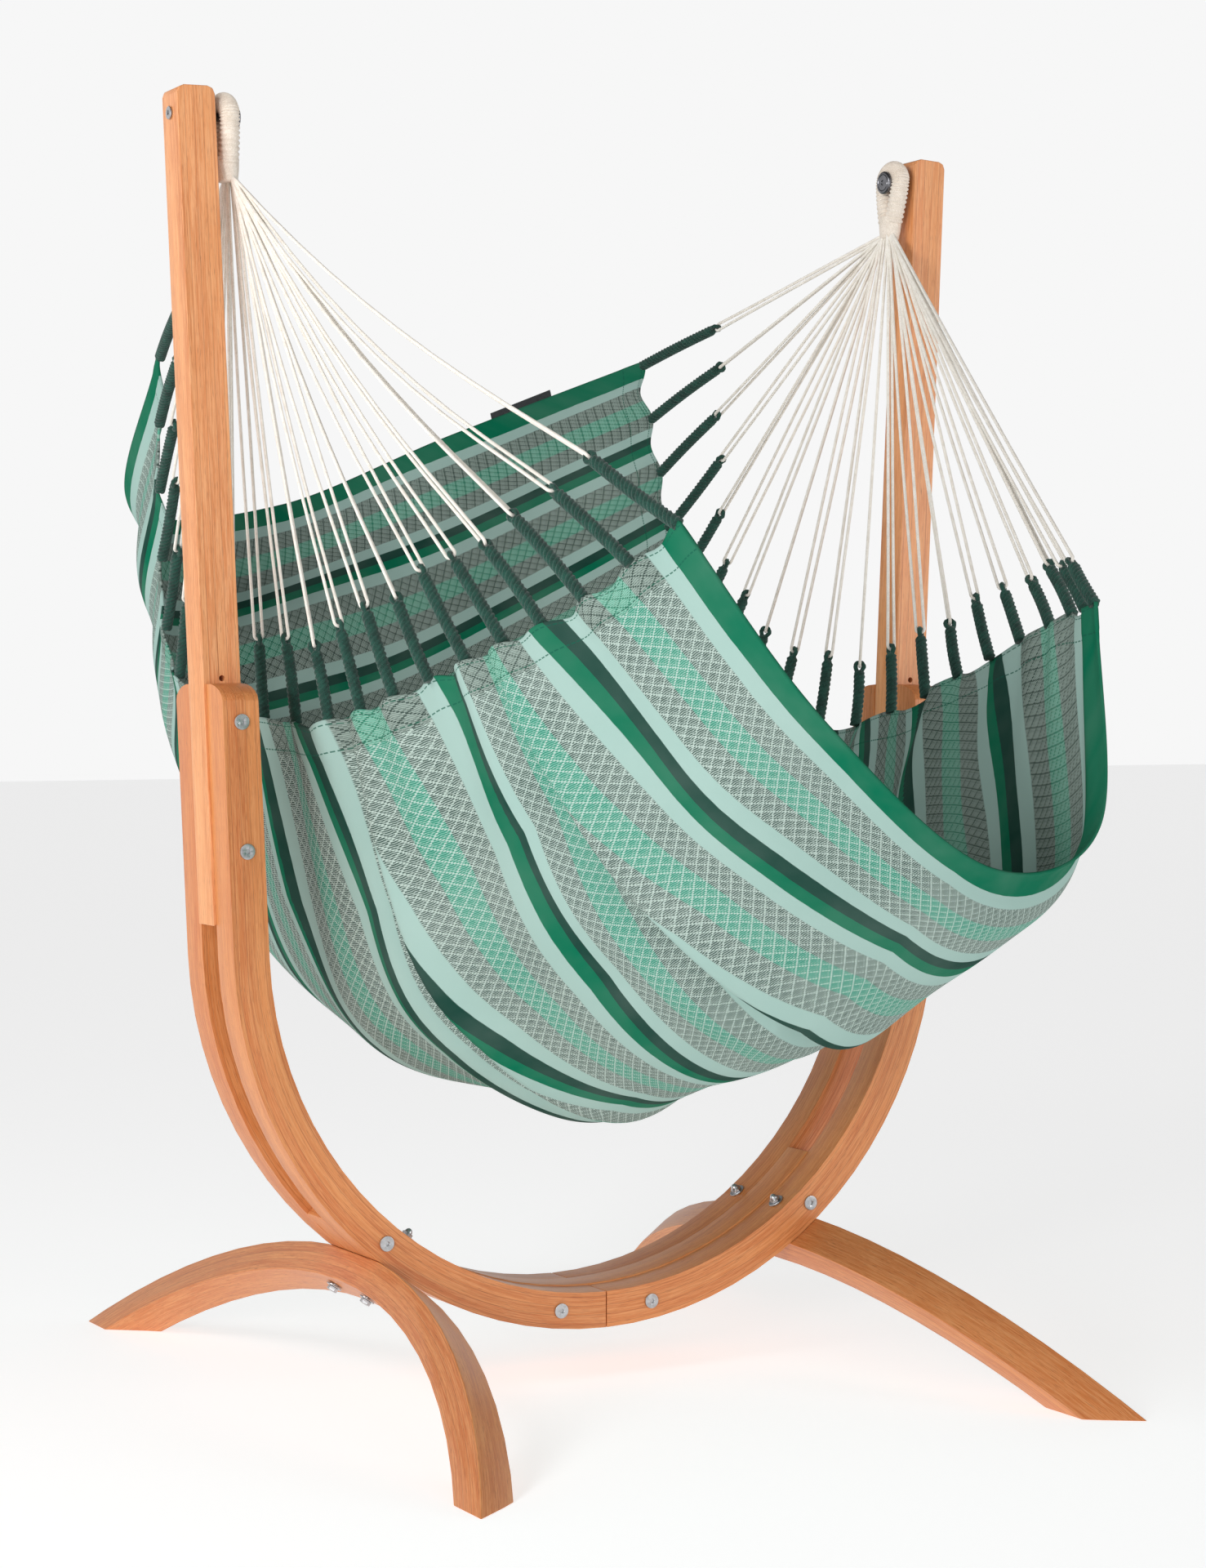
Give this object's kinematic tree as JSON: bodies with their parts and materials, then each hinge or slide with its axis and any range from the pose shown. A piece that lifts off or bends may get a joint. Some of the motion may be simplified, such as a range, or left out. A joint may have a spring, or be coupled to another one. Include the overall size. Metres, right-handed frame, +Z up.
{
  "type": "hammock on stand",
  "caption": "Striped cloth hammock hung by cord fans between two leaning uprights of a U-shaped laminated timber stand on splayed leg arches.",
  "frame": {"origin": "on the floor, below the middle of the whole object's box, halfway between the uprights", "axes": "+X along the span from the left upright to the right one, +Y to the back, +Z up"},
  "size_m": [1.288, 2.0148, 1.8371],
  "materials": {
    "timber": "oiled laminated hardwood, satin",
    "steel": "satin stainless steel",
    "cotton_cord": "undyed twisted cord, matt",
    "green_rope": "dark green laid rope, matt",
    "striped_fabric": "woven cotton with green stripes and patterned bands"
  },
  "bodies": {
    "stand": {"upright_left": "timber", "leg_arch_left": "timber", "curved_beam_left_front": "timber", "leg_bolt_left_front": "steel", "leg_cap_nut_left_front": "steel", "leg_washer_low_left_front": "steel", "leg_washer_high_left_front": "steel", "curved_beam_left_back": "timber", "leg_bolt_left_back": "steel", "leg_cap_nut_left_back": "steel", "leg_washer_low_left_back": "steel", "leg_washer_high_left_back": "steel", "cross_bolt_left_upper": "steel", "sleeve_nut_left_upper": "steel", "cross_bolt_left_middle": "steel", "sleeve_nut_left_middle": "steel", "cross_bolt_left_leg": "steel", "sleeve_nut_left_leg": "steel", "cross_bolt_left_splice": "steel", "sleeve_nut_left_splice": "steel", "hanger_sleeve_left": "steel", "hanger_peg_left": "steel", "upright_right": "timber", "leg_arch_right": "timber", "curved_beam_right_front": "timber", "leg_bolt_right_front": "steel", "leg_cap_nut_right_front": "steel", "leg_washer_low_right_front": "steel", "leg_washer_high_right_front": "steel", "curved_beam_right_back": "timber", "leg_bolt_right_back": "steel", "leg_cap_nut_right_back": "steel", "leg_washer_low_right_back": "steel", "leg_washer_high_right_back": "steel", "cross_bolt_right_upper": "steel", "sleeve_nut_right_upper": "steel", "cross_bolt_right_middle": "steel", "sleeve_nut_right_middle": "steel", "cross_bolt_right_leg": "steel", "sleeve_nut_right_leg": "steel", "cross_bolt_right_splice": "steel", "sleeve_nut_right_splice": "steel", "hanger_sleeve_right": "steel", "hanger_peg_right": "steel", "centre_spacer": "timber"},
    "hammock": {"eye_loop_left": "cotton_cord", "suspension_cords_left": "cotton_cord", "rope_fringe_left": "green_rope", "eye_loop_right": "cotton_cord", "suspension_cords_right": "cotton_cord", "rope_fringe_right": "green_rope", "fabric_panel": "striped_fabric"}
  },
  "joints": [
    {"name": "hammock_swing", "type": "hinge", "parent": "stand", "child": "hammock", "pos_m": [0, 0, 1.8], "axis": [1, 0, 0], "range_deg": [-25, 25]}
  ]
}
